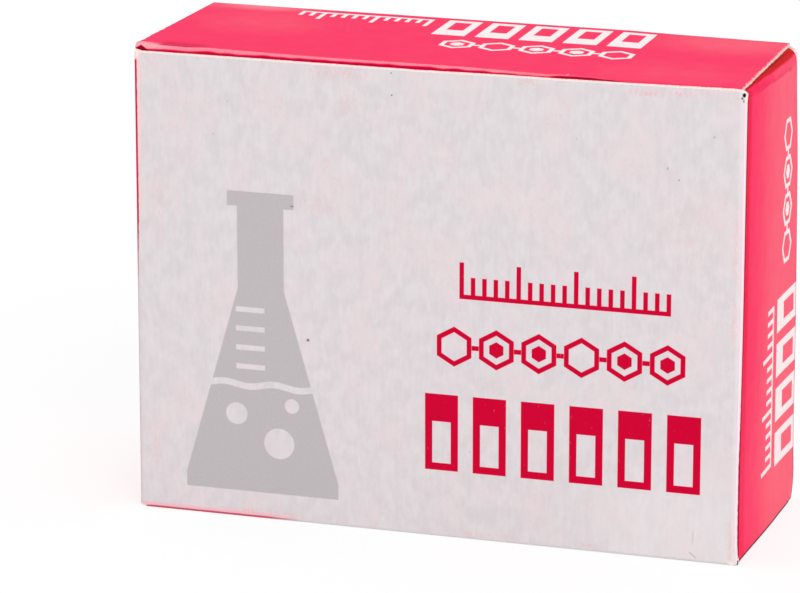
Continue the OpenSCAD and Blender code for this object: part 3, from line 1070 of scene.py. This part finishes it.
# %% The whole carton
def carton_wear(finish, place, face, depth, y, edge, white):
    """The share of bare paper: in tears along a cut, where a fold meets a cut, along the white panels'
    upper cut and at two crushed corners. The sprung fold keeps its ink, and the lower cut most of it."""
    crease = finish.attribute("crease") / MM
    torn = finish.noise(place, (3.0, 3.0, 1.0), 2.0)
    worn = (edge.rise(0.3, 0.05) * torn.rise(0.5, 0.62)).most(crease.rise(0.5, 0.4) * edge.rise(0.26, 0.16))
    worn = worn * (1 - (abs(depth) < side_reach + 0.3) * (y > 60.5) * (y < 63))
    worn = worn.most(edge.rise(0.2, 0.1) * white * (y > 60) * 0.85)
    worn = worn.most(finish.marks(place, left_corner_rub, 0.55))
    worn = worn.most(finish.marks(place, low_corner_rub, 0.1))
    return worn * (1 - (y < 1.0) * (face < 39) * 0.6)


def carton_finish():
    """The finish of the whole carton. face runs across a wide panel from its middle, and depth across a
    side panel, from its middle to the back. The white print ends at a line beside each fold."""
    finish = Finish(bpy.data.materials.new("carton_print"))
    place, x, y = board_places(finish)
    face = (x + round_half / 2) % round_half - round_half / 2
    depth = abs(x) - right_middle
    right_line = (33 - y).most(0).least(20) * -0.017 + (3 - y).most(0) * 0.07 + 41.09
    right_line = right_line + (y - 61.3).most(0).least(1) * 0.5
    left_line = (y - 30).most(0).least(10) * 0.026 - 40.7
    wobble = (finish.noise(place, (0.0, 1.1, 1.0), 2.0) - 0.5) * 0.12
    white = (face - left_line + wobble).rise(-0.04, 0.04) * (right_line - face + wobble).rise(-0.04, 0.04)
    printed = finish.mix(white, red_panel(finish, place, face, depth, y, right_line, left_line),
                         white_panel(finish, place, face, y, right_line, left_line))
    edge = finish.attribute("edge") / MM
    # painted shadow in the cleft at the lower right corner, along the cut
    shadowed_cleft = edge.rise(0.26, 0.16) * (x - 40.4).rise(0, 0.08) * (x < 41.05) * (y < 1.3)
    printed = finish.mix(finish.marks(place, gap_shadows, 0.5).most(shadowed_cleft), printed, gap_shadow_paint)
    worn = carton_wear(finish, place, face, depth, y, edge, white) * (1 - shadowed_cleft)
    ribs = finish.noise(place, (1.7, 0.35, 1.0), 2.0, (7.0, 0.0, 0.0))
    return finish_board(finish, place, printed, worn, ribs * 2, carton_core,
                        finish.marks(place, torn_liner, 0.6))


carton.data.materials.append(carton_finish())
print("carton finish:", len(carton.data.materials[0].node_tree.nodes), "nodes")

# %% [markdown]
# ### Print on the lids
# Both lids are red. The upper one has three white rows, which read from behind the carton. Its front
# fold has rubbed pale where it stands proud, most of all at the left end, and the ink beside the fold
# is a little darker in the crease. Below its top the fold carries painted shade in crimson, and
# painted highlights lie on the upper lid's top.

# %% The upper lid's print
fold_line = (lid_high.y - (panel_v + tuck_v) / 2) / MM
ink_end = 15.06
left_end = -39
lid_ink = (255, 242, 242)
# the four crimsons below and the tucked corner's paint are painted shade in and beside the lid's front fold
fold_shade_crimson = (206, 0, 60)
pressed_shade_crimson = (176, 0, 48)
creased_shade_crimson = (228, 0, 80)
seam_shade_crimson = (200, 0, 62)
left_end_paint = (140, 16, 66)
tucked_shade_paint = (158, 0, 42)
back_glint_paint = (255, 176, 182)
hinge_shade = (150, 16, 70)
hinge_pink = (250, 176, 190)
hinge_crimson = (190, 10, 62)
# the glints and the mark below are painted highlights on the upper lid's top
glints = [(-35, 18, 15, 9, 1.0), (33, 12, 16, 10, 0.68), (-30, 5, 14, 10, 0.35), (30, -8, 16, 10, 0.25)]
back_glint = [(-33, 15, 9, 4, 0.4)]
nicks = [(17.0, -12.9, 0.22, 1.1, 0.6), (16.2, -13.6, 0.9, 0.2, 0.5), (-40, -13.4, 3.2, 0.9, 0.4)]


def top_rows(x, y):
    """The rows on the upper lid, upside down as seen from the front."""
    rows = six_rings(x * -1 + 20.0, y * -1 + 0.3, pitch=5.4, count=5, reach=2.2, line=0.62)
    rows = rows.least(slides_on_end(x * -1 + 19.6, y * -1 + 9.5, pitch=6.0, count=5, half_a=2.3,
                                    half_b=4.4, line=1.15))
    return rows.least(stage_scale(x * -1 - 9.0, y * -1 + 13.6, pitch=1.5, count=13, tall=4.2, line=0.6))


def upper_lid_print(finish, place, x, y, red, worn, edge, torn):
    """The upper lid's colour and its share of bare paper. crown is how far a point lies below the top of
    the fold, and above how far it lies behind the rubbed band. Below the crown painted shade makes the ink
    crimson, the band is on it, and behind the band runs a line of painted shade, wide and dark where the
    board is creased. The left corner is tucked in, and painted shade darkens it. A painted highlight lies
    near the back at the left."""
    pressed = x.rise(14.5, 16.5) * x.rise(30, 22)
    creased = x.rise(-31, -33) * x.rise(-38.8, -37)
    waver = (finish.noise(place, (0.28, 0.0, 1.0), 1.0, (0.0, 0.0, 8.0)) - 0.5) * 0.34
    crown = fold_line - y + waver + x.rise(-34, -39) * -0.1 - x.rise(-16, -28) * 0.08
    crown = crown + pressed * 0.25 + x.rise(22, 30) * 0.22
    above = (crown + 0.46 - creased * 0.07) * -1
    # a line of painted shade behind the band, and painted shade on the tucked left corner
    seam_shade = above.rise(-0.02, 0.06) * above.rise(1.3, 0.8) * x.rise(8, -16)
    seam_shade = seam_shade * (torn.rise(0.4, 0.55) * (1 - creased) + creased) * (x > -38.8)
    tucked = (crown - abs(x + 40.15) * 0.3 + 0.3).rise(-0.05, 0.03) * (x < -39.2)
    colour = finish.painted(
        red,
        (inked(top_rows(x, y)), lid_ink),
        (crown.rise(-0.06, 0.04) * (crown < 1.0), finish.mix(pressed, fold_shade_crimson, pressed_shade_crimson)),
        (creased * above.rise(-0.02, 0.1) * above.rise(4.0, 2.0) * 0.85, creased_shade_crimson),
        (seam_shade * 0.6, seam_shade_crimson),
        (edge.rise(0.2, 0.04) * (x < left_end) * 0.5, left_end_paint),
        (tucked, tucked_shade_paint),
        # a painted highlight near the back at the left
        (finish.marks(place, back_glint, 0.0), back_glint_paint),
        ((y - 14.8).rise(0, 0.2) * 0.6, hinge_shade),
        (y > ink_end, paper_paint))
    band = (crown + x.rise(-37, -39) * 0.24 - creased * 0.07).rise(-0.48, -0.4) * crown.rise(-0.04, -0.1)
    strength = (x.rise(30, 8) * 0.28 + x.rise(-35, -39) * 0.16) * (torn.rise(0.3, 0.5) * 0.3 + 0.7)
    rubbed = (band * strength).most(finish.marks(place, nicks, 0.2)) * (1 - tucked)
    return colour, worn.most(rubbed)


# %% Both lids
def lower_lid_print(finish, x, y, red):
    """The lower lid is plain. Its hinge edge shows under the front panel as bare paper, which is pink
    at the left, with a crimson line."""
    rubbed_end = x.rise(-17, -24)
    hinge_paper = finish.mix(rubbed_end, paper_paint, hinge_pink)
    return finish.painted(
        red,
        (y > rubbed_end * 0.19 + ink_end, hinge_paper),
        ((y > ink_end) * (y < 15.3) * rubbed_end * 0.7, hinge_crimson))


def lid_finish(name, upper):
    """The finish of the upper or the lower lid."""
    finish = Finish(bpy.data.materials.new(name))
    place, x, y = board_places(finish)
    edge = finish.attribute("edge") / MM
    torn = finish.noise(place, (2.6, 2.6, 1.0), 3.0, (2.0, 2.0, 0.0))
    below = fold_line - y
    pale = torn * 0.1 - 0.05 - below.rise(-1.3, -0.8) * below.rise(-0.3, -0.5) * 0.5
    worn = edge.rise(0.3, 0.05) * torn.rise(0.52, 0.6) * (x > left_end)
    if upper:
        red = red_ink(finish, place, pale + finish.marks(place, glints, 0.0))
        printed, worn = upper_lid_print(finish, place, x, y, red, worn, edge, torn)
    else:
        printed = lower_lid_print(finish, x, y, red_ink(finish, place, pale))
    ribs = finish.noise(place, (0.5, 1.6, 1.0), 2.0)
    return finish_board(finish, place, printed, worn, ribs * 1.5, lid_core, over=(x < left_end) * 0.14)


top_lid.data.materials.append(lid_finish("upper_lid_print", True))
bottom_lid.data.materials.append(lid_finish("lower_lid_print", False))
print("upper lid finish:", len(top_lid.data.materials[0].node_tree.nodes), "nodes")

# %% [markdown]
# ## The slides
# A slide is a strip of soda-lime glass with ground edges, small cut corners and one end frosted to
# write on. Each one is built as an outline carried through four levels, with the ends of the
# frosted field as a line of its own, so that the faces of clear glass, ground edge and frosting can
# each have their own material. Fifty of them lie in the stack, so a slide has only a few dozen faces.

# %% A slide's lattice
slide_corner = 0.6 * MM
slide_bevel = 0.15 * MM
frosted_l = 20 * MM


def slide_levels(low, high):
    """Four levels of a slide's outline, from the lower face up: the outline runs from +X to -X along
    the back edge and returns along the front edge. The outer two levels lie in by the bevel."""
    x0, y0 = (low.x + high.x) / 2, (low.y + high.y) / 2
    half_x, half_y = (high.x - low.x) / 2, (high.y - low.y) / 2
    frost = half_x - frosted_l
    levels = []
    heights = (low.z, low.z + slide_bevel, high.z - slide_bevel, high.z)
    for z, inset in zip(heights, (slide_bevel, 0, 0, slide_bevel)):
        ex, ey = half_x - inset, half_y - inset
        x = np.array([ex, ex - slide_corner, frost, -ex + slide_corner, -ex])
        y = np.array([ey - slide_corner, ey, ey, ey, ey - slide_corner])
        outline = together(np.concatenate([x, x[::-1]]), np.concatenate([y, -y[::-1]]))
        levels.append(np.column_stack([outline + [x0, y0], np.full(len(outline), z)]))
    return np.vstack(levels)


def slide_faces():
    """Faces between the levels and across both faces of the slide, and each face's material: 0 clear,
    1 ground edge, 2 frosted."""
    count = 10
    ring = np.arange(count)
    after = (ring + 1) % count
    ends = together(ring, ring + count, after + count, after)
    sides = [ends + k * count for k in range(3)]
    first = np.arange(count // 2 - 1)
    across = together(first, first + 1, count - 2 - first, count - 1 - first)
    faces = np.vstack(sides + [across, across[:, ::-1] + 3 * count])
    kind = np.concatenate([np.ones(3 * count), np.zeros(len(first)), np.where(first < 2, 2, 0)])
    return faces, kind.astype(np.int32)


# %% Glass
glass_ior = 1.52
clear_paint = (222, 238, 232)
ground_paint = (150, 196, 178)


def plain_glass(name, colour, roughness, alpha):
    """Glass or frosting that is the same all over."""
    glass = Finish(bpy.data.materials.new(name))
    return glass.shader(Base_Color=colour, Roughness=roughness, Alpha=alpha, IOR=glass_ior)


def handled_glass(name, colour, marked, roughness, alpha, grain, by):
    """Glass, ground edge or frosting with a grain and faint smudges, on the slide's own place."""
    glass = Finish(bpy.data.materials.new(name))
    place = glass.stretched(glass.node("ShaderNodeTexCoord").outputs["Object"], (1 / MM,) * 3)
    smudge = glass.noise(place, (0.16, 0.22, 1.0), 4.0, (2.0, 0.0, 0.0)).rise(0.45, 0.7)
    fine = glass.noise(place, by, 3.0)
    share = (smudge * 0.16 + (fine - 0.5) * grain).unit()
    bump = glass.node("ShaderNodeBump", None, Strength=0.3 * grain, Distance=0.02 * MM, Height=fine)
    return glass.shader(Base_Color=glass.mix(share, colour, marked), Roughness=share * 0.3 + roughness,
                        Alpha=share * 0.25 + alpha, IOR=glass_ior, Normal=bump.outputs[0])


top_materials = [handled_glass("slide_clear_smudged", clear_paint, (236, 242, 238), 0.04, 0.30,
                               0.15, (0.8, 0.8, 0.8)),
                 handled_glass("slide_edge_ground", ground_paint, (206, 228, 216), 0.3, 0.75,
                               1.0, (1.2, 1.2, 9.0)),
                 handled_glass("slide_frosting_grain", (238, 242, 241), (222, 228, 226), 0.65, 0.82,
                               1.0, (9.0, 9.0, 9.0))]
slide_materials = [plain_glass("slide_clear", clear_paint, 0.04, 0.32),
                   plain_glass("slide_ground_edge", ground_paint, 0.35, 0.8),
                   plain_glass("slide_frosting", (240, 243, 242), 0.75, 0.85)]
slide_mesh_faces, slide_kinds = slide_faces()
slide_names = sorted(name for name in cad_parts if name.startswith("slide_"))
top_slides = sorted(slide_names, key=lambda name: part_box(name)[1].z)[-3:]
for name in slide_names:
    low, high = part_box(name)
    points = slide_levels(low, high)
    glass = mesh_piece(name + "_glass", points, slide_mesh_faces, points[:, :2], {}, math.radians(20))
    for material in top_materials if name in top_slides else slide_materials:
        glass.data.materials.append(material)
    glass.data.polygons.foreach_set("material_index", slide_kinds)
    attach(glass, "carton")
    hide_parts(name)
print(len(slide_names), "slides of", len(slide_mesh_faces), "faces")

# %% Sizes
low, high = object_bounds()
print("visual box in mm:", [round(v / MM, 2) for v in (*low, *high)])
